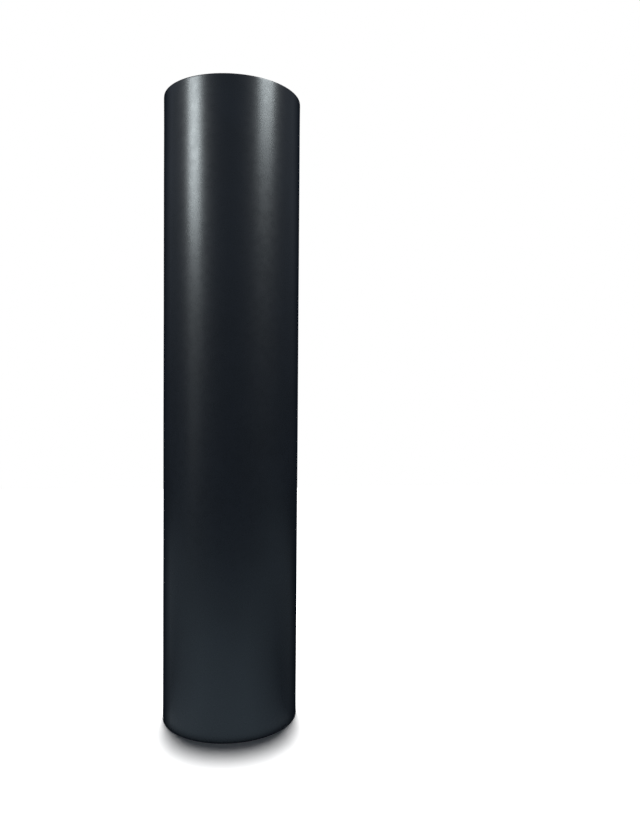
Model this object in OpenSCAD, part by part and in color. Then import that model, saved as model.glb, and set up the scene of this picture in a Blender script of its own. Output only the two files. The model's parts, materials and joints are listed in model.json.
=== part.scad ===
// A roll of vinyl wrap film on a paperboard core, standing on one end.
// Z is the winding axis. The origin is the middle of the end that the roll stands on.
// The web is one long strip of film on its release liner. Its turns grow counter-clockwise,
// seen from above, so the roll is a spiral and not a plain cylinder: the last turn ends in
// a step as high as the web is thick, the tail edge, which short strips of tape hold down.
//
// The spiral is drawn in half turns, so that it stays made of true arcs. The half turns on
// the +Y side share one centre and those on the -Y side another, half a pitch further along
// X, and each half turn is half a pitch larger than the one before it.
//
// All turns are one solid, wound tight. The gaps between them are too fine to be drawn one by
// one, so each end shows a coarser spiral line, of which one turn stands for several turns.

/* [Web] */
// Width of the web, which is the height of the standing roll
web_w = 610; // [300:10:760]
// Thickness of one turn: film, adhesive and release liner
web_t = 0.28; // [0.2:0.02:0.4]
// Length of web on the roll
web_len = 30000; // [10000:500:50000]

/* [Core] */
// Bore of the core
core_bore = 76.2; // [50:0.2:90]
// Wall of the core
core_wall = 4; // [3:0.5:8]

/* [Winding line] */
// Turns of the web that one turn of the drawn line stands for
line_turns = 8; // [4:1:12]
// Width of the line
line_w = 0.3; // [0.1:0.05:0.4]
// Depth to which the line is cut into each end of the roll
line_depth = 0.5; // [0.2:0.1:1]

/* [Tail tapes] */
// Direction in which the tail edge faces, around the roll from +X
tail_angle = 110; // [0:5:355]
// Length of each strip, around the roll
tail_tape_l = 50; // [30:1:80]
// Width of each strip
tail_tape_w = 19; // [12:1:50]
// Thickness of each strip
tail_tape_t = 0.14; // [0.1:0.02:0.3]
// Distance from an end of the roll to the middle of the nearest strip
tail_tape_inset = 75; // [30:1:140]

/* [Start tape] */
// Length around the core of the tape that holds the first turn
start_tape_l = 50; // [20:1:80]
// Thickness of that tape
start_tape_t = 0.16; // [0.1:0.02:0.3]
// Distance from each end of the roll to that tape
start_tape_inset = 5; // [2:1:40]

/* [Hidden] */
$fn = 128;

// Radii are rounded to this, so that arcs that meet end on the same point
radius_step = 0.01;
// How far a cutting shape runs past the face that it opens
overshoot = 1;

// The core, and the roll as an area: the web's length times its thickness fills the ring
bore_r = core_bore / 2;
core_r = bore_r + core_wall;
roll_r = rounded(sqrt(core_r ^ 2 + web_len * web_t / PI));

// The last turn: its half on the +Y side, and its half on the -Y side that ends at the tail
before_tail_r = roll_r - web_t / 4;
to_tail_r = roll_r + web_t / 4;

// The winding line: one spiral of its own pitch. It starts one pitch out from the core, on a
// half turn whose centre stands a quarter of a pitch off the axis, and ends inside the web.
line_pitch = line_turns * web_t;
line_first_r = core_r + line_pitch + line_pitch / 4;
line_half_turns = 2 * floor((roll_r - core_r) / line_pitch - 1);

// A square of this half width holds the whole section
reach = 2 * to_tail_r;

function rounded(size) = round(size / radius_step) * radius_step;

// The sides that half turns take in order: +Y, then -Y
function side_of(half_turn) = half_turn % 2 == 0 ? 1 : -1;

// Angle that a strip of a given length covers on a circle
function wrap_angle(length, r) = length / r * 180 / PI;

// The half of the section on one side of the X axis
module half_plane(side) {
    translate([-reach, side > 0 ? 0 : -reach])
        square([2 * reach, reach]);
}

// What a spiral of the given pitch keeps of a round shape on one side: it stands off centre
module on_spiral(side, pitch) {
    intersection() {
        translate([-side * pitch / 4, 0])
            children();
        half_plane(side);
    }
}

module ring(r, thickness) {
    difference() {
        circle(r = r + thickness);
        circle(r = r);
    }
}

// The wedge from the X axis through an angle, on the side that the angle's sign gives
module wedge(angle) {
    polygon([
        [0, 0],
        [reach, 0],
        [reach * cos(angle), reach * sin(angle)]
    ]);
}

// Section of the start tape, from a radius out to the first turn that bulges over it
module start_tape_section(inner_r) {
    half_angle = wrap_angle(start_tape_l, core_r) / 2;
    for (angle = [half_angle, -half_angle])
        intersection() {
            ring(inner_r, core_r + start_tape_t - inner_r);
            wedge(angle);
        }
}

module start_tape_shape(inner_r) {
    translate([0, 0, start_tape_inset])
        linear_extrude(height = web_w - 2 * start_tape_inset)
            start_tape_section(inner_r);
}

// Section of the wound roll, with the tail edge as its only step
module roll_section() {
    on_spiral(1, web_t)
        circle(r = before_tail_r);
    on_spiral(-1, web_t)
        circle(r = to_tail_r);
}

// The line that shows the winding at an end: a narrow open gap from the core outwards
module winding_line() {
    for (i = [0 : line_half_turns - 1])
        on_spiral(side_of(i), line_pitch)
            ring(line_first_r + i * line_pitch / 2 - line_w / 2, line_w);
}

// Section of a strip over the tail edge: it follows the last turn up to the step, drops down
// the step, and goes on along the turn below
module tail_tape_section() {
    half_angle = wrap_angle(tail_tape_l, roll_r) / 2;
    on_spiral(-1, web_t)
        intersection() {
            ring(to_tail_r, tail_tape_t);
            wedge(-half_angle);
        }
    intersection() {
        difference() {
            translate([web_t / 4, 0])
                circle(r = to_tail_r + tail_tape_t);
            translate([-web_t / 4, 0])
                circle(r = before_tail_r);
        }
        square([reach, tail_tape_t]);
    }
    on_spiral(1, web_t)
        intersection() {
            ring(before_tail_r, tail_tape_t);
            wedge(half_angle);
        }
}

module tail_tape(middle_z) {
    color("#d9cda8")
        rotate([0, 0, tail_angle])
            translate([0, 0, middle_z - tail_tape_w / 2])
                linear_extrude(height = tail_tape_w)
                    tail_tape_section();
}

module core() {
    color("#a98a63")
        linear_extrude(height = web_w)
            ring(bore_r, core_wall);
}

module film_roll() {
    color("#1d2126")
        rotate([0, 0, tail_angle])
            difference() {
                linear_extrude(height = web_w)
                    difference() {
                        roll_section();
                        circle(r = core_r);
                    }
                for (z = [-overshoot, web_w - line_depth])
                    translate([0, 0, z])
                        linear_extrude(height = line_depth + overshoot)
                            winding_line();
                start_tape_shape(core_r - overshoot);
            }
}

module start_tape() {
    color("#c9b98f")
        rotate([0, 0, tail_angle])
            start_tape_shape(core_r);
}

module tail_tape_bottom() {
    tail_tape(tail_tape_inset);
}

module tail_tape_middle() {
    tail_tape(web_w / 2);
}

module tail_tape_top() {
    tail_tape(web_w - tail_tape_inset);
}

core();
film_roll();
start_tape();
tail_tape_bottom();
tail_tape_middle();
tail_tape_top();
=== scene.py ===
"""A standing roll of dark vinyl wrap film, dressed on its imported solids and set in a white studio.

The web is film on a release liner. It is wound as one spiral on a paperboard core, and three
strips of creped paper tape hold its tail edge down at the back. Lengths are metres.
"""
import json
import logging
import math
from dataclasses import dataclass, field
from enum import Enum, IntEnum

import bmesh
import bpy
import numpy as np
from mathutils import Euler, Matrix, Vector


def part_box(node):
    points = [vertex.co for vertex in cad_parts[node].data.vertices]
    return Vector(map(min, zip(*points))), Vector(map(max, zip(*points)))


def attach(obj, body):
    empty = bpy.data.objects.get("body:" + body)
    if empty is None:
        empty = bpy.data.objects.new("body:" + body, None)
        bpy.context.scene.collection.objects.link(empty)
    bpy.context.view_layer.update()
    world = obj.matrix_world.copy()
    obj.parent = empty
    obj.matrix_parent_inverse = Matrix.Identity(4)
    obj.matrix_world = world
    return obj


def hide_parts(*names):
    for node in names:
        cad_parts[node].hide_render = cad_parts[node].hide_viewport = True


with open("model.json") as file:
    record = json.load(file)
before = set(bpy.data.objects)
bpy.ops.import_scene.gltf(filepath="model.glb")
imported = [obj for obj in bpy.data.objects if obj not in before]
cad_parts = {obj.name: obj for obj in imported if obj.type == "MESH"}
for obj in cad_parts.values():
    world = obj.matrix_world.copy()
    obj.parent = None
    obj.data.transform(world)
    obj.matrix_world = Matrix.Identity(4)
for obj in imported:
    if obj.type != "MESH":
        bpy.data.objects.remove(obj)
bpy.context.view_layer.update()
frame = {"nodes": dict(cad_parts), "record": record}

LOG = logging.getLogger("film_roll")
MM = 0.001
FULL_TURN = 2 * math.pi
BODY = "root"
TONE = "tone"

Colour = tuple[float, float, float]
Node = bpy.types.Node
Socket = bpy.types.NodeSocket


class Slot(str, Enum):
    """Names of the record's material slots. Nothing reads them: the new pieces make their own finishes."""

    FILM = "wrap_film"
    PAPERBOARD = "paperboard"
    TAIL_TAPE = "tail_tape"


class LampFace(str, Enum):
    """The outline of a lamp's lit face."""

    RECTANGLE = "RECTANGLE"
    ELLIPSE = "ELLIPSE"


class LampLink(str, Enum):
    """How a lamp treats a piece."""

    LEAVES_OUT = "EXCLUDE"
    KEPT_TO = "INCLUDE"


class Face(IntEnum):
    """What a face of the wound web shows, in the order of the piece's materials."""

    FILM = 0
    FILM_EDGE = 1
    LINER = 2


@dataclass(frozen=True)
class RollSizes:
    """The driving sizes of the roll and what follows from them.

    Args:
        web_thickness: One turn: film, adhesive and liner.
        web_length: Length of web on the roll.
        liner_share: The liner's share of the web's thickness.
        core_wall: Wall of the paperboard core.
        tail_angle: Direction in which the tail edge lies, round the roll from +X.
        line_turns: Turns of web that one turn of the open winding line stands for.
        line_width: Width of that line.
        line_depth: Depth of that line.
    """

    web_thickness: float = 0.28 * MM
    web_length: float = 30.0
    liner_share: float = 0.53
    core_wall: float = 4 * MM
    tail_angle: float = math.radians(110)
    line_turns: int = 8
    line_width: float = 0.3 * MM
    line_depth: float = 0.5 * MM

    @property
    def web_width(self) -> float:
        """Height of the standing roll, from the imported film."""
        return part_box("film_roll")[1].z

    @property
    def bore_radius(self) -> float:
        """Radius of the core's bore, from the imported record's mount."""
        mounts = {mount["name"]: mount for mount in frame["record"]["mounts"]}
        return mounts["core_bore"]["dims"]["r_mm"] * MM

    @property
    def core_radius(self) -> float:
        """Outer radius of the core."""
        return self.bore_radius + self.core_wall

    @property
    def roll_radius(self) -> float:
        """Mean outer radius: the web's length times its thickness fills the ring round the core."""
        return math.sqrt(self.core_radius ** 2 + self.web_length * self.web_thickness / math.pi)

    @property
    def tail_radius(self) -> float:
        """Outer radius right at the tail edge, the highest point of the spiral."""
        return self.roll_radius + self.web_thickness / 2


@dataclass
class Surface:
    """Grids of points that are gathered into one mesh.

    Args:
        name: Name of the object that the surface becomes.
        sharp_angle: Edges that turn by more than this stay crisp, in radians.
        points: The points of each grid so far.
        tones: Their tones.
        quads: The point numbers of each grid's cells.
        faces: The cells' material numbers.
    """

    name: str
    sharp_angle: float = math.radians(28)
    points: list[np.ndarray] = field(default_factory=list)
    tones: list[np.ndarray] = field(default_factory=list)
    quads: list[np.ndarray] = field(default_factory=list)
    faces: list[np.ndarray] = field(default_factory=list)

    def add(self, grid: np.ndarray, face: int | np.ndarray = 0, tone: np.ndarray | float = 0.5) -> None:
        """Adds a grid of points. Each cell between four neighbours becomes one quad.

        Args:
            grid: Points, of shape (rows, columns, 3).
            face: Material number of the cells: one for all, or one for each column of cells.
            tone: Tone of the points, from 0 to 1: one for all, or of shape (rows, columns).
        """
        rows, columns = grid.shape[:2]
        start = sum(len(block) for block in self.points)
        index = start + np.arange(rows * columns).reshape(rows, columns)
        cells = np.stack([index[:-1, :-1], index[:-1, 1:], index[1:, 1:], index[1:, :-1]], axis=-1)
        self.points.append(grid.reshape(-1, 3))
        self.tones.append(np.broadcast_to(tone, (rows, columns)).reshape(-1))
        self.quads.append(cells.reshape(-1, 4))
        self.faces.append(np.broadcast_to(face, (rows - 1, columns - 1)).reshape(-1))

    def to_object(self, materials: list[bpy.types.Material]) -> bpy.types.Object:
        """Makes the object: points that coincide are merged, and faces are turned outwards.

        Args:
            materials: The piece's materials, in the order of the face numbers.

        Returns:
            The object, at the origin, with its place in its mesh.
        """
        points = np.concatenate(self.points)
        quads = np.concatenate(self.quads).astype(np.int32)
        mesh = bpy.data.meshes.new(self.name)
        mesh.vertices.add(len(points))
        mesh.vertices.foreach_set("co", points.astype(np.float32).ravel())
        mesh.loops.add(quads.size)
        mesh.loops.foreach_set("vertex_index", quads.ravel())
        mesh.polygons.add(len(quads))
        mesh.polygons.foreach_set("loop_start", np.arange(0, quads.size, 4, dtype=np.int32))
        for material in materials:
            mesh.materials.append(material)
        mesh.update(calc_edges=True)
        mesh.polygons.foreach_set("material_index", np.concatenate(self.faces).astype(np.int32))
        tone = mesh.attributes.new(TONE, "FLOAT", "POINT")
        tone.data.foreach_set("value", np.concatenate(self.tones).astype(np.float32))
        self._close(mesh)
        mesh.polygons.foreach_set("use_smooth", np.ones(len(mesh.polygons), dtype=bool))
        mesh.set_sharp_from_angle(angle=self.sharp_angle)
        piece = bpy.data.objects.new(self.name, mesh)
        bpy.context.scene.collection.objects.link(piece)
        return piece

    @staticmethod
    def _close(mesh: bpy.types.Mesh, apart: float = 0.2e-6) -> None:
        """Merges points that coincide, and turns the faces outwards.

        Args:
            mesh: The mesh.
            apart: Points that lie closer than this become one.
        """
        work = bmesh.new()
        work.from_mesh(mesh)
        bmesh.ops.remove_doubles(work, verts=work.verts, dist=apart)
        bmesh.ops.dissolve_degenerate(work, edges=work.edges, dist=apart)
        bmesh.ops.recalc_face_normals(work, faces=work.faces)
        work.to_mesh(mesh)
        work.free()


def polar(radius: np.ndarray, angle: np.ndarray, height: np.ndarray) -> np.ndarray:
    """Points at a radius and an angle round the Z axis, and a height, as one array."""
    parts = np.broadcast_arrays(radius * np.cos(angle), radius * np.sin(angle), height)
    return np.stack(parts, axis=-1)


def drift(rng: np.random.Generator, turns: np.ndarray, spacing: float) -> np.ndarray:
    """A random curve from -1 to 1: random knots, `spacing` turns apart, joined by straight runs."""
    places = np.arange(turns.min() - spacing, turns.max() + 2 * spacing, spacing)
    return np.interp(turns, places, rng.uniform(-1, 1, len(places)))


class Tree:
    """A short way to write a node tree: it adds a node, sets it and links its inputs."""

    def __init__(self, tree: bpy.types.NodeTree) -> None:
        """Takes the tree to write in, and empties it."""
        self.tree = tree
        tree.nodes.clear()

    def add(self, kind: str, inputs: dict | None = None, **settings: object) -> Node:
        """Adds one node.

        Args:
            kind: Blender's name of the node's type, without its ShaderNode prefix.
            inputs: Socket name or number, and the value or the output socket that it takes.
            settings: The node's own properties.

        Returns:
            The new node.
        """
        prefix = "" if kind.startswith("NodeGroup") else "ShaderNode"
        node = self.tree.nodes.new(prefix + kind)
        for name, value in settings.items():
            setattr(node, name, value)
        for socket, value in (inputs or {}).items():
            if isinstance(value, Socket):
                self.tree.links.new(value, node.inputs[socket])
            else:
                node.inputs[socket].default_value = value
        return node

    def math(self, operation: str, *values: object) -> Socket:
        """Adds a Math node and returns its output."""
        return self.add("Math", dict(enumerate(values)), operation=operation).outputs[0]

    def mix(self, factor: object, first: object, second: object) -> Socket:
        """Adds a Mix node, with its colours at inputs 6 and 7 and output 2, and returns its output."""
        return self.add("Mix", {0: factor, 6: first, 7: second}, data_type="RGBA").outputs[2]

    def remap(self, value: object, start: object, end: object, low: float = 0.0, high: float = 1.0,
              **settings: object) -> Socket:
        """Maps a value from start..end onto low..high, held at both ends, and returns the output."""
        inputs = {"Value": value, "From Min": start, "From Max": end, "To Min": low, "To Max": high}
        return self.add("MapRange", inputs, **settings).outputs[0]

    def bump(self, relief: float, height: Socket) -> Socket:
        """Adds a Bump node and returns its output."""
        return self.add("Bump", {"Distance": relief, "Height": height}).outputs[0]

    def tone(self) -> Socket:
        """Adds a node that reads the tone that the mesh carries, and returns its output."""
        return self.add("Attribute", attribute_name=TONE).outputs["Fac"]


class Effect:
    """A shader node group with named inputs and outputs, built once and used by several finishes.

    Attributes:
        name: Name of the group.
        inputs: Value of each input, by name.
        outputs: Names of the outputs, the mask first.
        kept: Range of the group's noise that is stretched to 0..1.
    """

    name = ""
    inputs: dict[str, float] = {}
    outputs: tuple[str, ...] = ()
    kept: tuple[float, float] = (0.0, 1.0)

    def group(self) -> bpy.types.NodeTree:
        """Gives the group, which is made when it is first asked for.

        Returns:
            The group.
        """
        if self.name in bpy.data.node_groups:
            return bpy.data.node_groups[self.name]
        made = bpy.data.node_groups.new(self.name, "ShaderNodeTree")
        made.interface.new_socket("Vector", in_out="INPUT", socket_type="NodeSocketVector")
        for title, value in self.inputs.items():
            socket = made.interface.new_socket(title, in_out="INPUT", socket_type="NodeSocketFloat")
            socket.default_value = value
        for title in self.outputs:
            made.interface.new_socket(title, in_out="OUTPUT", socket_type="NodeSocketFloat")
        tree = Tree(made)
        tree.add("NodeGroupOutput", self.build(tree, tree.add("NodeGroupInput")))
        return made

    def build(self, tree: Tree, given: Node) -> dict[str, Socket]:
        """Fills the group and returns what each output takes."""
        raise NotImplementedError

    def place(self, tree: Tree, vector: Socket, **values: float) -> Node:
        """Adds the group to a material's tree, with its inputs by name, and returns its node."""
        return tree.add("Group", {"Vector": vector, **values}, node_tree=self.group())


class Mottle(Effect):
    """Slow, cloudy variation: a mask from 0 to 1 with a soft contrast."""

    name = "mottle"
    inputs = {"Scale": 40.0, "Detail": 3.0}
    outputs = ("Mask",)
    kept = (0.3, 0.7)

    def build(self, tree: Tree, given: Node) -> dict[str, Socket]:
        """Takes one noise and stretches its middle range to 0..1."""
        noise = tree.add("TexNoise", {name: given.outputs[name] for name in ("Vector", "Scale", "Detail")})
        return {"Mask": tree.remap(noise.outputs[0], *self.kept)}


class Fibre(Effect):
    """Paper fibre: short matted strands, from two noises stretched across each other."""

    name = "paper_fibre"
    inputs = {"Scale": 900.0, "Stretch": 6.0}
    outputs = ("Mask", "Height")
    kept = (0.42, 0.72)

    def build(self, tree: Tree, given: Node) -> dict[str, Socket]:
        """Squeezes one noise along Z and one across it, and keeps the brighter of the two.

        Args:
            tree: The group's tree.
            given: The group's input node.

        Returns:
            The outputs, by name.
        """
        squeeze = given.outputs["Stretch"]
        along = tree.add("CombineXYZ", {"X": 1.0, "Y": 1.0, "Z": squeeze}).outputs[0]
        across = tree.add("CombineXYZ", {"X": squeeze, "Y": squeeze, "Z": 1.0}).outputs[0]
        strands = []
        for direction in (along, across):
            scaled = tree.add("VectorMath", {0: given.outputs["Vector"], 1: direction},
                              operation="MULTIPLY").outputs[0]
            noise = tree.add("TexNoise", {"Vector": scaled, "Scale": given.outputs["Scale"],
                                          "Detail": 4.0, "Roughness": 0.65})
            strands.append(noise.outputs[0])
        matted = tree.math("MAXIMUM", *strands)
        return {"Mask": tree.remap(matted, *self.kept), "Height": matted}


class HelicalSeam(Effect):
    """The butt seam of a spiral-wound tube: a thin line that climbs round the Z axis."""

    name = "helical_seam"
    inputs = {"Pitch": 0.13, "Width": 0.004}
    outputs = ("Seam",)

    def build(self, tree: Tree, given: Node) -> dict[str, Socket]:
        """Draws the seam where height over pitch, less the angle's share of a turn, is a whole number.

        Args:
            tree: The group's tree.
            given: The group's input node.

        Returns:
            The outputs, by name.
        """
        place = tree.add("SeparateXYZ", {0: given.outputs["Vector"]})
        turn = tree.math("DIVIDE", tree.math("ARCTAN2", place.outputs[1], place.outputs[0]), FULL_TURN)
        climb = tree.math("SUBTRACT", tree.math("DIVIDE", place.outputs[2], given.outputs["Pitch"]), turn)
        share = tree.math("FRACT", climb)
        from_seam = tree.math("MINIMUM", share, tree.math("SUBTRACT", 1.0, share))
        return {"Seam": tree.remap(from_seam, 0.0, given.outputs["Width"], 1.0, 0.0)}


MOTTLE = Mottle()
FIBRE = Fibre()
HELICAL_SEAM = HelicalSeam()


@dataclass(frozen=True)
class Layer:
    """A tone that lies over a finish where an effect's mask, its first output, is white.

    Args:
        effect: The effect.
        values: Its inputs, by name.
        strength: Share of the tone where the mask is full.
        shade: The tone, as a factor of the finish's main colour.
    """

    effect: Effect
    values: dict[str, float]
    strength: float
    shade: float


@dataclass(frozen=True)
class Finish:
    """A finish, which makes its material once.

    Args:
        name: Name of the material.
        colour: Main colour, linear.
        roughness: Roughness of the gloss.
        specular: Strength of the gloss.
    """

    name: str
    colour: Colour
    roughness: float = 0.5
    specular: float = 0.5

    def material(self) -> bpy.types.Material:
        """Gives the material, which is made when it is first asked for.

        Returns:
            The material.
        """
        made = bpy.data.materials.get(self.name)
        if made is None:
            made = bpy.data.materials.new(self.name)
            made.use_nodes = True
            tree = Tree(made.node_tree)
            place = tree.add("TexCoord").outputs["Object"]
            shader = tree.add("BsdfPrincipled", {
                "Base Color": (*self.colour, 1.0),
                "Roughness": self.roughness,
                "Specular IOR Level": self.specular,
            })
            self.dress(tree, place, shader)
            tree.add("OutputMaterial", {"Surface": shader.outputs[0]})
            made.diffuse_color = (*self.colour, 1.0)
        return made

    def dress(self, tree: Tree, place: Socket, shader: Node) -> None:
        """Adds what varies over the surface. A plain finish adds nothing."""

    def shade(self, factor: float) -> tuple[float, float, float, float]:
        """The main colour times a factor, with full alpha."""
        return (*(channel * factor for channel in self.colour), 1.0)

    def shades(self, tree: Tree, mask: Socket, ends: tuple[float, float]) -> Socket:
        """The main colour, from one factor where a mask is black to another where it is white."""
        return tree.mix(mask, self.shade(ends[0]), self.shade(ends[1]))

    @staticmethod
    def connect(tree: Tree, shader: Node, **sources: Socket) -> None:
        """Links sources to the shader's sockets, by name, with _ for a space."""
        for title, source in sources.items():
            tree.tree.links.new(source, shader.inputs[title.replace("_", " ")])


@dataclass(frozen=True)
class SatinVinyl(Finish):
    """Calendered film: almost black, with a soft gloss that is very slightly uneven.

    Args:
        tint: Colour of the gloss.
        clouds: Factors of the main colour between which it varies.
        gloss_play: How far the roughness varies to each side.
        ripple: Height of the slow waves in the face.
        haze: Share of the gloss that spreads wide, as a matting agent makes it.
        haze_roughness: Roughness of that share.
        fade: Facing (Layer Weight) at which the gloss starts to fade, as the grain shades itself,
            and at which it is gone.
        grazing_roughness: Roughness that is added where the gloss is gone.
    """

    tint: Colour = (0.84, 0.945, 0.975)
    clouds: tuple[float, float] = (0.9, 1.1)
    gloss_play: float = 0.025
    ripple: float = 0.010 * MM
    haze: float = 0.32
    haze_roughness: float = 0.52
    fade: tuple[float, float] = (0.57, 0.82)
    grazing_roughness: float = 0.35

    def dress(self, tree: Tree, place: Socket, shader: Node) -> None:
        """Adds cloudy colour and gloss, a slow ripple, and the haze as a thin coat.

        What is left of the gloss is the square of one less the share that is gone.

        Args:
            tree: The material's tree.
            place: Coordinates on the piece.
            shader: The material's shader.
        """
        cloud = MOTTLE.place(tree, place, Scale=22.0).outputs["Mask"]
        haze = MOTTLE.place(tree, place, Scale=140.0, Detail=5.0).outputs["Mask"]
        wave = MOTTLE.place(tree, place, Scale=55.0, Detail=1.0).outputs["Mask"]
        colour = self.shades(tree, cloud, self.clouds)
        gloss = tree.remap(haze, 0.0, 1.0, self.roughness - self.gloss_play,
                           self.roughness + self.gloss_play)
        rolling = tree.bump(self.ripple, wave)
        facing = tree.add("LayerWeight", {"Blend": 0.5}).outputs["Facing"]
        gone = tree.remap(facing, *self.fade)
        left = tree.math("POWER", tree.math("SUBTRACT", 1.0, gone), 2.0)
        roughness = tree.math("ADD", gloss, tree.math("MULTIPLY", gone, self.grazing_roughness))
        shader.inputs["Specular Tint"].default_value = (*self.tint, 1.0)
        shader.inputs["Coat Roughness"].default_value = self.haze_roughness
        self.connect(tree, shader, Base_Color=colour, Roughness=roughness, Normal=rolling,
                     Coat_Normal=rolling, Specular_IOR_Level=tree.math("MULTIPLY", left, self.specular),
                     Coat_Weight=tree.math("MULTIPLY", left, self.haze))


@dataclass(frozen=True)
class Fibrous(Finish):
    """A dry finish on the tone that the mesh carries, with fibre and other layers over it.

    Args:
        tones: Factors of the main colour where the mesh's tone is 0 and where it is 1.
        layers: What lies over it, from the fibre up.
        relief: Height of the fibre.
    """

    tones: tuple[float, float] = (0.7, 1.3)
    layers: tuple[Layer, ...] = ()
    relief: float = 0.02 * MM

    def dress(self, tree: Tree, place: Socket, shader: Node) -> None:
        """Lays each layer over the mesh's tone, and raises the fibre.

        Args:
            tree: The material's tree.
            place: Coordinates on the piece.
            shader: The material's shader.
        """
        colour = self.shades(tree, tree.tone(), self.tones)
        nodes = []
        for layer in self.layers:
            nodes.append(layer.effect.place(tree, place, **layer.values))
            share = tree.math("MULTIPLY", nodes[-1].outputs[0], layer.strength)
            colour = tree.mix(share, colour, self.shade(layer.shade))
        bump = tree.bump(self.relief, self.height(tree, nodes))
        self.connect(tree, shader, Base_Color=colour, Normal=bump)

    def height(self, tree: Tree, nodes: list[Node]) -> Socket:
        """Height of the surface, in reliefs: the fibre's."""
        return nodes[0].outputs["Height"]


@dataclass(frozen=True)
class CutEdge(Fibrous):
    """A slit edge of the wound web: torn fibre or smeared film over each turn's own tone."""

    layers: tuple[Layer, ...] = (Layer(FIBRE, {"Scale": 1500.0, "Stretch": 2.0}, 0.25, 0.6),)


@dataclass(frozen=True)
class CrepePaper(Fibrous):
    """Creped paper tape: cream, darker in the folds of the crepe, with faint blotches. Where the mesh
    carries a fold tone, the darkening in the folds is painted shade and the paler crests are painted
    light.
    """

    tones: tuple[float, float] = (0.68, 1.08)
    layers: tuple[Layer, ...] = (
        Layer(FIBRE, {"Scale": 700.0, "Stretch": 4.0}, 0.22, 0.75),
        Layer(MOTTLE, {"Scale": 90.0}, 0.2, 1.15),
    )
    relief: float = 0.012 * MM


@dataclass(frozen=True)
class Paperboard(Fibrous):
    """Kraft board of a spiral-wound tube: plies of uneven tone, blotches, and a seam on top.

    Args:
        seam_depth: Depth of the seam.
    """

    tones: tuple[float, float] = (0.72, 1.18)
    layers: tuple[Layer, ...] = (
        Layer(FIBRE, {"Scale": 260.0, "Stretch": 5.0}, 0.35, 0.62),
        Layer(MOTTLE, {"Scale": 35.0, "Detail": 4.0}, 0.25, 1.3),
        Layer(HELICAL_SEAM, {"Pitch": 0.13, "Width": 0.004}, 0.7, 0.3),
    )
    relief: float = 0.05 * MM
    seam_depth: float = 0.25 * MM

    def height(self, tree: Tree, nodes: list[Node]) -> Socket:
        """Height of the surface, in reliefs: the fibre's, less the seam's depth on its line."""
        sunk = tree.math("MULTIPLY", nodes[-1].outputs["Seam"], -self.seam_depth / self.relief)
        return tree.math("ADD", nodes[0].outputs["Height"], sunk)


FILM = SatinVinyl("satin_vinyl", (0.0100, 0.0137, 0.0202), roughness=0.28)
FILM_EDGE = CutEdge("film_edge", (0.012, 0.013, 0.015), roughness=0.45, tones=(0.5, 1.5))
LINER = CutEdge("liner_edge", (0.52, 0.50, 0.46), roughness=0.75, specular=0.25, tones=(0.58, 1.42))
BOARD = Paperboard("kraft_paperboard", (0.36, 0.245, 0.14), roughness=0.85, specular=0.2)
CREPE = CrepePaper("crepe_paper_tape", (0.66, 0.56, 0.38), roughness=0.8, specular=0.25)
TISSUE = CrepePaper("tissue_tape", (0.58, 0.48, 0.30), roughness=0.9, specular=0.2)


@dataclass(frozen=True)
class Wave:
    """A sine wave along a face, whose phase may sway from one side of the face to the other.

    Args:
        length: Length of one wave.
        height: Height of the wave.
        start: Its phase where it starts, in radians.
        sway: How far the phase sways, in radians.
        runs: How much the sway's own phase gains across the face, in radians.
    """

    length: float
    height: float
    start: float = 0.0
    sway: float = 0.0
    runs: float = 0.0

    def at(self, along: np.ndarray, across: np.ndarray | float = 0.0, shift: float = 0.0) -> np.ndarray:
        """Height times the sine of the phase along the face, which sways by a sine of `across`."""
        sway = self.sway * np.sin(self.runs * across + shift)
        return self.height * np.sin(FULL_TURN * along / self.length + self.start + sway)


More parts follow.
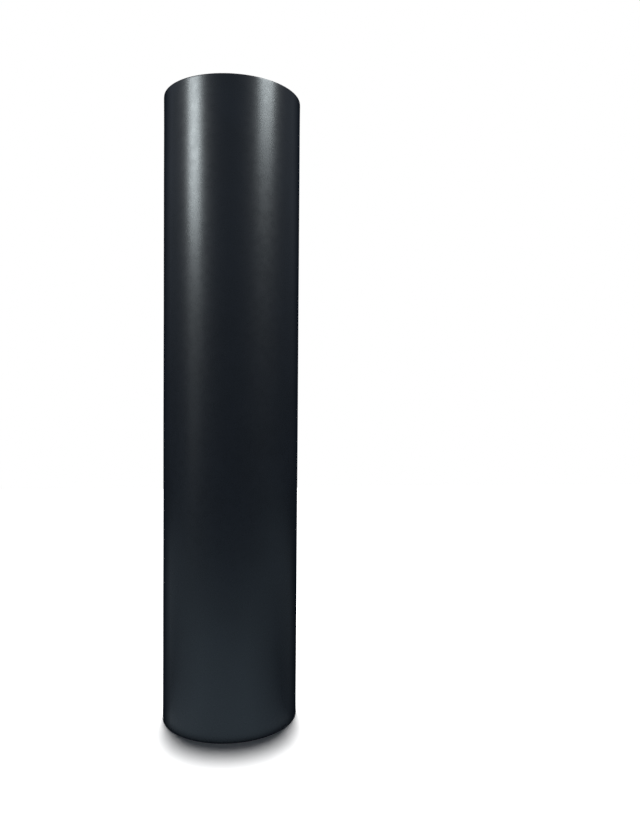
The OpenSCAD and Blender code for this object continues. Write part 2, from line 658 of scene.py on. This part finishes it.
@dataclass
class FilmRoll:
    """All the turns of the web, as one closed surface with every turn's edge at both ends.

    Args:
        sizes: The roll's sizes.
        steps: Points in each turn.
        layer_step: Start and end of the step from liner to film, in webs past the liner's face.
        gap_start: Where the gap to the next turn starts, in webs.
        end_drift: How far turns slipped along the core as they were wound, at most.
        slip_knots: Share and spacing in turns of the random curves that make up the slip.
        tone_knots: The same for the turns' tones.
        wear_knots: The same for the wear of the winding line.
        line_bank: Where the line's bank starts and ends, in half widths of the line.
        rim_drop: How far the outer rim is rubbed inwards at the very end.
        rim_length: Length along the roll over which the rim is rubbed.
        rim_depth: Depth in the roll to which the rubbed rim reaches.
        row_gap: Height of a row of faces along the outer face.
        rim_rows: The close rows at a rim, as distances from the end.
        film_recess: How far the film's edge lies below the liner's.
        slack: How far the outer face lies inside the tight spiral, on average.
        bands: Bands of slack and taut web.
        oval: How far the roll is out of round.
        rim_hold: Distance from an end over which the slack, the bands and the oval set in.
        seed: Seed of the random drift.
    """

    sizes: RollSizes
    steps: int = 96
    layer_step: tuple[float, float] = (-0.01, 0.03)
    gap_start: float = 0.96
    end_drift: float = 0.3 * MM
    slip_knots: tuple[tuple[float, float], ...] = ((1.0, 6.0), (0.6, 2.2), (0.35, 0.8))
    tone_knots: tuple[tuple[float, float], ...] = ((0.3, 1.0), (0.2, 7.0))
    wear_knots: tuple[tuple[float, float], ...] = ((0.35, 0.45),)
    line_bank: tuple[float, float] = (0.7, 1.5)
    rim_drop: float = 0.12 * MM
    rim_length: float = 1.2 * MM
    rim_depth: float = 8 * MM
    row_gap: float = 12 * MM
    rim_rows: tuple[float, ...] = (0.0, 0.25 * MM, 0.6 * MM, 1.0 * MM, 1.5 * MM, 2.0 * MM, 2.6 * MM)
    film_recess: float = 0.04 * MM
    slack: float = 0.06 * MM
    bands: tuple[Wave, ...] = (Wave(0.190, 0.020 * MM, 0.7), Wave(0.083, 0.012 * MM, 2.1))
    oval: float = 0.03 * MM
    rim_hold: float = 20 * MM
    seed: int = 4

    def __post_init__(self) -> None:
        """Works out the spiral: the steps from the core to the tail, and each step's turn."""
        web = self.sizes.web_thickness
        turns = (self.sizes.tail_radius - self.sizes.core_radius) / web - 1
        self.last = round(turns * self.steps)
        self.turns = np.arange(self.last + 1) / self.steps
        self.angles = self.sizes.tail_angle + FULL_TURN * (self.turns - self.turns[-1])
        self.radii = self.sizes.core_radius + web * self.turns
        rng = np.random.default_rng(self.seed)
        slip = self.drifts(rng, self.slip_knots)
        self.slip = (slip - slip.min()) / np.ptp(slip) * self.end_drift
        self.tone = 0.5 + self.drifts(rng, self.tone_knots)
        wear = self.drifts(rng, self.wear_knots)
        self.line_wear = 1 - sum(share for share, _ in self.wear_knots) + wear

    def drifts(self, rng: np.random.Generator, knots: tuple[tuple[float, float], ...]) -> np.ndarray:
        """A sum of random curves over the turns, each with its share and its spacing in turns."""
        return sum(share * drift(rng, self.turns, spacing) for share, spacing in knots)

    def line_depth(self, radius: np.ndarray) -> np.ndarray:
        """Depth of the open winding line under each point of an end face.

        The line is a spiral of its own pitch. A point's radius over that pitch, less its share
        of a turn past the tail edge, is a whole number on the line. It starts one pitch out from
        the core and stops one pitch short of the last turns.

        Args:
            radius: Radii of the points, of shape (steps, columns).

        Returns:
            Depths, of the same shape.
        """
        pitch = self.sizes.line_turns * self.sizes.web_thickness
        past_tail = (self.turns - self.turns[-1])[:, None]
        count = (radius - self.sizes.core_radius) / pitch - past_tail % 1
        line = np.round(count)
        away = np.abs(count - line) * pitch
        bottom, top = (bank * self.sizes.line_width / 2 for bank in self.line_bank)
        fade = np.clip((top - away) / (top - bottom), 0, 1)
        most = math.floor((self.sizes.roll_radius - self.sizes.core_radius) / pitch - 1)
        drawn = (line >= 1) & (line <= most)
        return self.sizes.line_depth * fade * drawn * self.line_wear[:, None]

    def rubbed(self, radius: np.ndarray, from_end: np.ndarray | float) -> np.ndarray:
        """Radius after rubbing: the loss falls as a square along the roll and into its depth.

        Args:
            radius: Radii of the points.
            from_end: Their distances from the nearest end.

        Returns:
            The radii that are left.
        """
        rim = self.sizes.tail_radius
        into = np.clip(1 - (rim - radius) / self.rim_depth, 0, 1)
        along = np.clip(1 - np.asarray(from_end) / self.rim_length, 0, 1)
        return radius - self.rim_drop * into ** 2 * along ** 2

    def end_face(self, top: bool) -> tuple[np.ndarray, np.ndarray, np.ndarray]:
        """The cut edges of all turns at one end.

        Across one turn lie the liner, a small step down to the film, and the gap to the next
        turn. A point's height is the turn's slip along the core, less the layer's recess and the
        winding line. The last turn has no gap: its edge is the outer face.

        Args:
            top: Whether it is the upper end.

        Returns:
            The points of shape (steps, 5, 3), the face numbers of the four columns of cells, and
            the tones.
        """
        step_start, step_end = (self.sizes.liner_share + share for share in self.layer_step)
        across = np.tile(np.array([0.0, step_start, step_end, self.gap_start]), (self.last + 1, 1))
        across[self.last - self.steps:, 3] = 1.0
        flat = self.radii[:, None] + across * self.sizes.web_thickness
        recess = np.array([0.0, 0.0, 1.0, 1.0]) * self.film_recess
        depth = recess + self.line_depth(flat)
        if top:
            height = self.sizes.web_width - self.end_drift + self.slip[:, None] - depth
        else:
            height = self.slip[:, None] + depth
        points = polar(self.rubbed(flat, 0.0), self.angles[:, None], height)
        following = np.minimum(np.arange(self.last + 1) + self.steps, self.last)
        seam = np.where((np.arange(self.last + 1) + self.steps <= self.last)[:, None],
                        points[following, 0], points[:, 3])
        points = np.concatenate([points, seam[:, None]], axis=1)
        faces = np.array([Face.LINER, Face.FILM_EDGE, Face.FILM_EDGE, Face.LINER])
        tone = np.repeat(np.clip(self.tone, 0, 1)[:, None], points.shape[1], axis=1)
        return points, faces, tone

    def rows(self) -> np.ndarray:
        """Rows of the outer face, which lie close at the rims.

        Returns:
            Their distances from the lower edge.
        """
        near = np.array(self.rim_rows)
        length = self.sizes.web_width - self.end_drift
        middle = np.linspace(near[-1], length - near[-1], round(length / self.row_gap))
        return np.concatenate([near[:-1], middle, length - near[-2::-1]])

    def upright(self, low: np.ndarray, high: np.ndarray, rows: np.ndarray) -> np.ndarray:
        """A wall between two edges: each row goes the same share of the way up everywhere."""
        share = (rows / rows[-1])[:, None, None]
        return low[None] * (1 - share) + high[None] * share

    def outer_face(self, low: np.ndarray, high: np.ndarray) -> np.ndarray:
        """The last turn's face. Its rims are rubbed, and bands of slack and taut web cross it.

        A point's radius is the rubbed spiral's, less the slack, the bands' waves and the oval,
        which set in from the rims.

        Args:
            low: The lower rim, of shape (steps, 3).
            high: The upper rim.

        Returns:
            The points of shape (rows, steps, 3).
        """
        rows = self.rows()
        wall = self.upright(low, high, rows)
        turn = slice(self.last - self.steps, self.last + 1)
        radius = self.radii[turn] + self.sizes.web_thickness
        from_end = np.minimum(rows, rows[-1] - rows)[:, None]
        away = np.clip(from_end / self.rim_hold, 0, 1)
        waves = sum(band.at(rows) for band in self.bands)[:, None]
        oval = self.oval * np.cos(2 * self.angles[turn])[None]
        radius = self.rubbed(radius[None], from_end) - away * (self.slack + waves + oval)
        return polar(radius, self.angles[turn][None], wall[..., 2])

    def build(self) -> bpy.types.Object:
        """Makes the piece: two ends, the outer and inner faces, and the two ends of the web.

        Returns:
            The piece.
        """
        surface = Surface("wound_film")
        top, faces, tone = self.end_face(True)
        bottom, _, _ = self.end_face(False)
        surface.add(top, faces, tone)
        surface.add(bottom, faces, tone)
        outer = self.outer_face(bottom[self.last - self.steps:, 3], top[self.last - self.steps:, 3])
        surface.add(outer, Face.FILM)
        inner_rows = np.array([0.0, 0.5, 1.0])
        surface.add(self.upright(bottom[:self.steps + 1, 0], top[:self.steps + 1, 0], inner_rows),
                    Face.LINER)
        surface.add(self.upright(bottom[0], top[0], inner_rows), faces)
        tail = self.upright(bottom[self.last, :4], top[self.last, :4], self.rows())
        tail[:, 3] = outer[:, -1]
        tail[:, 0] = outer[:, 0]
        surface.add(tail, faces[:3])
        return surface.to_object([FILM.material(), FILM_EDGE.material(), LINER.material()])


@dataclass
class CoreTube:
    """The spiral-wound paperboard tube, with the edges of its plies at both ends.

    Args:
        sizes: The roll's sizes.
        plies: Number of plies in the wall.
        flat: Where a ply's bevels start and end, as shares of the ply.
        edge: Radius to which the edges of the tube are worn.
        groove: Depth of the groove between two plies at the ends.
        uneven: How far one ply's end lies below another, at most.
        ply_tones: Lowest and highest tone of a ply's end.
        wall_tone: Tone of the tube's wall.
        rows: Points along the wall.
        segments: Points round the tube.
        seed: Seed of the plies' heights and tones.
    """

    sizes: RollSizes
    plies: int = 9
    flat: tuple[float, ...] = (0.03, 0.2, 0.8, 0.97)
    edge: float = 0.35 * MM
    groove: float = 0.08 * MM
    uneven: float = 0.05 * MM
    ply_tones: tuple[float, float] = (0.15, 0.9)
    wall_tone: float = 0.55
    rows: int = 40
    segments: int = 144
    seed: int = 11

    def end_profile(self) -> tuple[np.ndarray, np.ndarray, np.ndarray]:
        """Radius, depth below the end plane, and tone of the points across one end.

        Each ply is a flat between two grooves, and the edges follow a quarter circle.

        Returns:
            Three arrays, from the bore to the outside.
        """
        rng = np.random.default_rng(self.seed)
        inner, outer = self.sizes.bore_radius, self.sizes.core_radius
        ply = self.sizes.core_wall / self.plies
        start = inner + ply * np.arange(self.plies)
        sunk = rng.uniform(0.0, self.uneven, self.plies)
        tone = rng.uniform(*self.ply_tones, self.plies)
        radius = (start[:, None] + ply * np.array(self.flat)).ravel()
        depth = (sunk[:, None] + np.array([1.0, 0.0, 0.0, 1.0]) * self.groove).ravel()
        tones = np.repeat(tone, len(self.flat))
        from_edge = np.minimum(radius - inner, outer - radius)
        inside = np.clip(1 - from_edge / self.edge, 0, 1)
        depth = depth + self.edge * (1 - np.sqrt(1 - inside ** 2))
        return radius, depth, tones

    def build(self) -> bpy.types.Object:
        """Makes the piece: the profile of the wall, carried round the axis.

        Returns:
            The piece.
        """
        radius, depth, tones = self.end_profile()
        length = self.sizes.web_width
        bore_rows = np.linspace(self.edge, length - self.edge, self.rows)
        bore = np.full(len(bore_rows), self.sizes.bore_radius)
        outside = np.full(len(bore_rows), self.sizes.core_radius)
        profile_r = np.concatenate([bore, radius, outside, radius[::-1], bore[:1]])
        profile_z = np.concatenate([bore_rows, length - depth, bore_rows[::-1], depth[::-1],
                                    bore_rows[:1]])
        wall_tone = np.full(len(bore_rows), self.wall_tone)
        tone = np.concatenate([wall_tone, tones, wall_tone, tones[::-1], wall_tone[:1]])
        angle = np.linspace(0, FULL_TURN, self.segments + 1)
        grid = polar(profile_r[:, None], angle[None], profile_z[:, None])
        surface = Surface("core_tube")
        surface.add(grid, 0, np.repeat(tone[:, None], self.segments + 1, axis=1))
        return surface.to_object([BOARD.material()])


@dataclass
class TailTape:
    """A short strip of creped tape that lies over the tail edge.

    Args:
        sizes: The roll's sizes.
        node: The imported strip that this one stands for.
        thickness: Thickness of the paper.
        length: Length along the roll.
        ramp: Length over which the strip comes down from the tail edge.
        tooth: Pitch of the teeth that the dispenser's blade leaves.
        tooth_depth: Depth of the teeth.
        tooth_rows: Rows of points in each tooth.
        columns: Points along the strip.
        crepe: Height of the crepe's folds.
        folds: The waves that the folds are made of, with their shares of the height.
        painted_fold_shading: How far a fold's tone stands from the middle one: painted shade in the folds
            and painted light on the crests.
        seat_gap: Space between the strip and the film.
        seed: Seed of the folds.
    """

    sizes: RollSizes
    node: str
    thickness: float = 0.12 * MM
    length: float = 50 * MM
    ramp: float = 1.2 * MM
    tooth: float = 1.6 * MM
    tooth_depth: float = 0.8 * MM
    tooth_rows: int = 4
    columns: int = 181
    crepe: float = 0.02 * MM
    folds: tuple[Wave, ...] = (
        Wave(0.83 * MM, 1.0, sway=1.5, runs=5.0),
        Wave(1.27 * MM, 0.7, sway=2.0, runs=3.0),
        Wave(0.61 * MM, 0.5, sway=2.5, runs=4.0),
    )
    painted_fold_shading: float = 0.25
    seat_gap: float = 0.004 * MM
    seed: int = 1

    def film_radius(self, past_tail: np.ndarray) -> np.ndarray:
        """Radius of the film's face: it grows by one web in each turn, and drops at the tail.

        Args:
            past_tail: Angle past the tail edge, negative on the side of the last turn.

        Returns:
            The radius at each angle, with the drop drawn out over the strip's ramp.
        """
        web = self.sizes.web_thickness
        spiral = self.sizes.tail_radius + web * past_tail / FULL_TURN
        way = np.clip(past_tail * self.sizes.tail_radius / self.ramp, 0, 1)
        return spiral - web * way * way * (3 - 2 * way)

    def build(self) -> bpy.types.Object:
        """Makes the strip: an outer face with folds, an inner face on the film, and four edges.

        Returns:
            The strip.
        """
        rng = np.random.default_rng(self.seed)
        low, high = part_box(self.node)
        rows = self.tooth_rows * round((high.z - low.z) / self.tooth) + 1
        across = np.linspace(low.z, high.z, rows)[:, None]
        tooth = np.abs((across - low.z) / self.tooth % 1 - 0.5) * 2
        half = self.length / 2 - self.tooth_depth * tooth
        along = np.linspace(-1, 1, self.columns)[None] * half
        shifts = rng.uniform(0, FULL_TURN, len(self.folds))
        width = (across - low.z) / (high.z - low.z)
        folds = sum(wave.at(along, width, shift) for wave, shift in zip(self.folds, shifts))
        highest = sum(wave.height for wave in self.folds)
        angle = along / self.sizes.tail_radius
        inner = self.film_radius(angle) + self.seat_gap
        outer = inner + self.thickness + self.crepe * folds / highest
        turned = angle + self.sizes.tail_angle
        faces = [polar(inner, turned, across), polar(outer, turned, across)]
        surface = Surface("tail_tape_" + self.node.rsplit("_", 1)[-1] + "_strip")
        # Painted shade in the folds of the crepe and painted light on its crests: the tone follows the
        # height of the folds.
        tone = np.clip(0.5 + self.painted_fold_shading * folds, 0, 1)
        surface.add(faces[0], 0, 0.5)
        surface.add(faces[1], 0, tone)
        for edge in (np.s_[0], np.s_[-1], np.s_[:, 0], np.s_[:, -1]):
            surface.add(np.stack([faces[0][edge], faces[1][edge]]), 0, 0.5)
        return surface.to_object([CREPE.material()])


def hang_lamp(name: str, face: LampFace, size: tuple[float, float], energy: float, place: Vector,
              turn: Euler, linked: bpy.types.Collection) -> None:
    """Hangs an area lamp that the camera doesn't see.

    Args:
        name: Name of the lamp.
        face: Outline of the lit face.
        size: Width and length of the lit face.
        energy: Power, in watts.
        place: Middle of the lit face.
        turn: Turn of the lamp.
        linked: Objects that the lamp is kept to, or that it leaves out.
    """
    lamp = bpy.data.lights.new(name, "AREA")
    lamp.shape = face.value
    lamp.size, lamp.size_y = size
    lamp.energy = energy
    stand = bpy.data.objects.new(name, lamp)
    stand.location = place
    stand.rotation_euler = turn
    stand.visible_camera = False
    stand.light_linking.receiver_collection = linked
    bpy.context.scene.collection.objects.link(stand)


@dataclass(frozen=True)
class SoftBox:
    """A rectangular lamp that stands upright and faces the roll's axis.

    Args:
        name: Name of the lamp.
        bearing: Direction from the roll, in degrees to the right of the camera.
        distance: Distance from the roll's axis.
        width: Width of the lit face.
        low: Height of its lower edge.
        high: Height of its upper edge.
        radiance: Brightness of the lit face, where 1 is white.
    """

    name: str
    bearing: float
    distance: float
    width: float
    low: float
    high: float
    radiance: float

    def place(self, linked: bpy.types.Collection) -> None:
        """Makes the lamp.

        Args:
            linked: Objects that the lamp leaves out, as flags on a stand would.
        """
        height = self.high - self.low
        energy = self.radiance * math.pi * self.width * height
        turn = math.radians(self.bearing)
        away = Vector((math.sin(turn), -math.cos(turn), 0.0))
        middle = away * self.distance + Vector((0, 0, (self.low + self.high) / 2))
        facing = away.to_track_quat("Z", "Y").to_euler()
        hang_lamp(self.name, LampFace.RECTANGLE, (self.width, height), energy, middle, facing, linked)


@dataclass(frozen=True)
class Overhead:
    """A far light from above, with an oval face.

    Args:
        name: Name of the lamp.
        tilt: How far it stands behind the roll, in degrees from straight up.
        turn: How far it stands to the right of straight behind, in degrees.
        spread: Its width and its length as seen from the roll, in degrees.
        level: Brightness that it gives to a level white surface.
        distance: Distance from the roll.
    """

    name: str
    tilt: float
    turn: float
    spread: tuple[float, float]
    level: float
    distance: float = 40.0

    def place(self, linked: bpy.types.Collection) -> None:
        """Makes the lamp.

        Args:
            linked: Objects that the lamp is kept to, or that it leaves out.
        """
        size = tuple(2 * self.distance * math.tan(math.radians(angle / 2)) for angle in self.spread)
        energy = self.level * (math.pi * self.distance) ** 2
        tilt, turn = math.radians(self.tilt), math.radians(self.turn)
        away = Vector((math.sin(tilt) * math.sin(turn), math.sin(tilt) * math.cos(turn), math.cos(tilt)))
        hang_lamp(self.name, LampFace.ELLIPSE, size, energy, away * self.distance,
                  Euler((-tilt, 0.0, -turn)), linked)


@dataclass(frozen=True)
class Pool:
    """A round pool of light on the floor, brightest in its middle.

    Args:
        centre: Middle of the pool.
        reach: Radius at which it has faded.
        level: Brightness in its middle, as a share of the floor's glow.
    """

    centre: tuple[float, float, float]
    reach: float
    level: float

    def spread(self, tree: Tree, place: Socket) -> Socket:
        """Adds the pool to the floor's tree and returns its brightness, which fades smoothly to 0."""
        away = tree.add("VectorMath", {0: place, 1: self.centre}, operation="DISTANCE").outputs["Value"]
        return tree.remap(away, 0.0, self.reach, self.level, 0.0, interpolation_type="SMOOTHSTEP")


@dataclass
class Studio:
    """A white room: a pale floor, upright boxes round the roll, two overhead lights and a dim world.

    Args:
        floor_size: Side of the floor.
        floor_colour: Colour of the floor.
        glow: What the roll's gloss sees of the floor where the studio light pools.
        front_pool: The pool round the roll, which lies on its front.
        side_pools: The pools below the side boxes.
        front_bearing: Direction in which the front pool lies, in degrees to the right of the camera.
        front_edge: Cosine of the angle from that side at which the pool starts, and where it is full.
        front_rest: Share of the front pool that is left behind the roll.
        foot: Radii round the roll's foot between which its contact shadow ends.
        boxes: The upright lamps.
        on_floor: The overhead light that is kept to the floor.
        on_roll: The overhead light that leaves out the floor.
        world_steps: Sines of the height above the horizon, and the world's brightness at each.
        world_tint: Colour of the world.
    """

    floor_size: float = 3.6
    floor_colour: float = 0.85
    glow: Colour = (0.382, 0.448, 0.497)
    front_pool: Pool = Pool((0.0, 0.0, 0.0), 1.05, 1.0)
    side_pools: tuple[Pool, ...] = (
        Pool((-0.72, 0.0, 0.0), 0.9, 0.44),
        Pool((0.8, -0.2, 0.0), 0.9, 0.5),
    )
    front_bearing: float = -9.0
    front_edge: tuple[float, float] = (0.08, 0.85)
    front_rest: float = 0.05
    foot: tuple[float, float] = (0.066, 0.081)
    boxes: tuple[SoftBox, ...] = (
        SoftBox("left_box", -64.0, 1.5, 0.52, 0.85, 1.42, 17.4),
        SoftBox("left_fill", -64.0, 1.5, 0.52, 0.10, 0.84, 0.24),
        SoftBox("right_box", 57.5, 1.5, 0.64, 1.16, 1.80, 17.4),
        SoftBox("back_box", 180.0, 1.8, 0.8, 0.35, 1.35, 7.0),
    )
    on_floor: Overhead = Overhead("floor_light", 3.85, 0.0, (3.6, 6.7), 2.09)
    on_roll: Overhead = Overhead("top_light", 10.0, 0.0, (20.0, 20.0), 0.35)
    world_steps: tuple[tuple[float, float], ...] = ((-1.0, 0.02), (0.0, 0.02), (0.35, 0.16), (0.6, 0.03))
    world_tint: Colour = (0.90, 1.0, 1.16)

    def build(self) -> None:
        """Makes the floor, the lamps and the world."""
        floor = self.floor()
        flags = self.linked("floor_flags", floor, LampLink.LEAVES_OUT)
        for box in self.boxes:
            box.place(flags)
        self.on_roll.place(flags)
        self.on_floor.place(self.linked("floor_only", floor, LampLink.KEPT_TO))
        self.world()

    @staticmethod
    def linked(name: str, piece: bpy.types.Object, link: LampLink) -> bpy.types.Collection:
        """Makes a collection of one piece that a lamp leaves out, or is kept to.

        Args:
            name: Name of the collection.
            piece: The piece.
            link: Which of the two.

        Returns:
            The collection.
        """
        made = bpy.data.collections.new(name)
        made.objects.link(piece)
        made.collection_objects[0].light_linking.link_state = link.value
        return made

    def floor(self) -> bpy.types.Object:
        """Makes the floor, a level square.

        The camera sees a matt pale floor with the roll's shadow. The roll's gloss sees soft
        pools of light instead: one round its front, and one below each side box.

        Returns:
            The floor.
        """
        half = self.floor_size / 2
        corners = np.linspace(-half, half, 2)
        x, y = np.meshgrid(corners, corners)
        surface = Surface("studio_floor")
        surface.add(np.stack([x, y, np.zeros_like(x)], axis=-1))
        material = bpy.data.materials.new("studio_floor")
        material.use_nodes = True
        tree = Tree(material.node_tree)
        level = self.pooled(tree, tree.add("TexCoord").outputs["Object"])
        glow = tree.add("Emission", {"Color": (*self.glow, 1.0), "Strength": level})
        matt = tree.add("BsdfDiffuse", {"Color": (*[self.floor_colour] * 3, 1.0)})
        seen = tree.add("LightPath").outputs["Is Camera Ray"]
        shader = tree.add("MixShader", {0: seen, 1: glow.outputs[0], 2: matt.outputs[0]})
        tree.add("OutputMaterial", {"Surface": shader.outputs[0]})
        floor = surface.to_object([material])
        return floor

    def pooled(self, tree: Tree, place: Socket) -> Socket:
        """Adds the pools to the floor's tree, with the roll's contact shadow round its foot.

        The front pool is full ahead of the roll and fades round to its back, by the cosine of
        the angle between a place and the way ahead.

        Args:
            tree: The tree.
            place: Coordinates on the floor.

        Returns:
            The pools' brightness at each place.
        """
        bearing = math.radians(self.front_bearing)
        ahead = (math.sin(bearing), -math.cos(bearing), 0.0)
        out = tree.add("VectorMath", {0: place}, operation="NORMALIZE").outputs[0]
        along = tree.add("VectorMath", {0: out, 1: ahead}, operation="DOT_PRODUCT").outputs["Value"]
        front = tree.remap(along, *self.front_edge, self.front_rest)
        level = tree.math("MULTIPLY", self.front_pool.spread(tree, place), front)
        for pool in self.side_pools:
            level = tree.math("ADD", level, pool.spread(tree, place))
        from_axis = tree.add("VectorMath", {0: place}, operation="LENGTH").outputs["Value"]
        clear = tree.remap(from_axis, *self.foot, interpolation_type="SMOOTHSTEP")
        return tree.math("MULTIPLY", level, clear)

    def world(self) -> None:
        """Makes the world: white to the camera, and a dim room that is paler overhead to the rest."""
        world = bpy.data.worlds.new("white_room")
        world.use_nodes = True
        bpy.context.scene.world = world
        tree = Tree(world.node_tree)
        up = tree.add("SeparateXYZ", {0: tree.add("TexCoord").outputs["Generated"]}).outputs[2]
        ramp = tree.add("ValToRGB", {0: tree.remap(up, -1.0, 1.0)})
        marks = ramp.color_ramp.elements
        while len(marks) < len(self.world_steps):
            marks.new(0.5)
        for mark, (place, level) in zip(marks, self.world_steps):
            mark.position = (place + 1) / 2
            mark.color = (*(level * channel for channel in self.world_tint), 1.0)
        seen = tree.add("LightPath").outputs["Is Camera Ray"]
        colour = tree.mix(seen, ramp.outputs[0], (1.0, 1.0, 1.0, 1.0))
        background = tree.add("Background", {"Color": colour})
        tree.add("OutputWorld", {"Surface": background.outputs[0]})


@dataclass(frozen=True)
class PhotoCamera:
    """The photograph's camera: in front of the roll, half its height up, turned a little right.

    Args:
        distance: Distance from the roll's axis.
        height: Height above the floor.
        yaw: Turn to the right of the roll's axis, in degrees.
        pitch: Tilt below the horizon, in degrees.
        roll: Turn of the picture about the view, in degrees.
        focal_pixels: Focal length in pixels of the picture.
        picture_height: The picture's long side, in pixels.
        sensor: The sensor's long side, in millimetres.
    """

    distance: float = 0.7205
    height: float = 0.3187
    yaw: float = 7.09
    pitch: float = 1.61
    roll: float = 0.46
    focal_pixels: float = 713.4
    picture_height: float = 837.0
    sensor: float = 36.0

    def build(self) -> None:
        """Makes the camera and gives it to the scene."""
        yaw, pitch, roll = (math.radians(a) for a in (self.yaw, self.pitch, self.roll))
        ahead = Vector((math.sin(yaw) * math.cos(pitch), math.cos(yaw) * math.cos(pitch),
                        -math.sin(pitch)))
        right = Vector((math.cos(yaw), -math.sin(yaw), 0.0))
        up = right.cross(ahead)
        tilted_right = right * math.cos(roll) + up * math.sin(roll)
        tilted_up = up * math.cos(roll) - right * math.sin(roll)
        data = bpy.data.cameras.new("photo_camera")
        data.sensor_width = self.sensor
        data.lens = self.focal_pixels * self.sensor / self.picture_height
        camera = bpy.data.objects.new("photo_camera", data)
        turned = Matrix((tilted_right, tilted_up, -ahead)).transposed().to_4x4()
        camera.matrix_world = Matrix.Translation((0.0, -self.distance, self.height)) @ turned
        bpy.context.scene.collection.objects.link(camera)
        bpy.context.scene.camera = camera


def seat(piece: bpy.types.Object, node: str) -> None:
    """Puts a piece on the roll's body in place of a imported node.

    Args:
        piece: The new piece.
        node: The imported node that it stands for.
    """
    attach(piece, BODY)
    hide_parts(node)
    LOG.info("%s stands for %s: %d faces", piece.name, node, len(piece.data.polygons))


def main() -> None:
    """Builds the roll's pieces, the studio and the camera."""
    logging.basicConfig(level=logging.INFO, format="%(name)s: %(message)s")
    sizes = RollSizes()
    seat(FilmRoll(sizes).build(), "film_roll")
    seat(CoreTube(sizes).build(), "core")
    for seed, node in enumerate(("tail_tape_bottom", "tail_tape_middle", "tail_tape_top"), 1):
        seat(TailTape(sizes, node, seed=seed).build(), node)
    start_tape = frame["nodes"]["start_tape"]
    start_tape.data.materials.clear()
    start_tape.data.materials.append(TISSUE.material())
    LOG.info("start_tape keeps its packed shape")
    Studio().build()
    PhotoCamera().build()
    bpy.context.scene.view_settings.view_transform = "Standard"


if __name__ == "__main__":
    main()
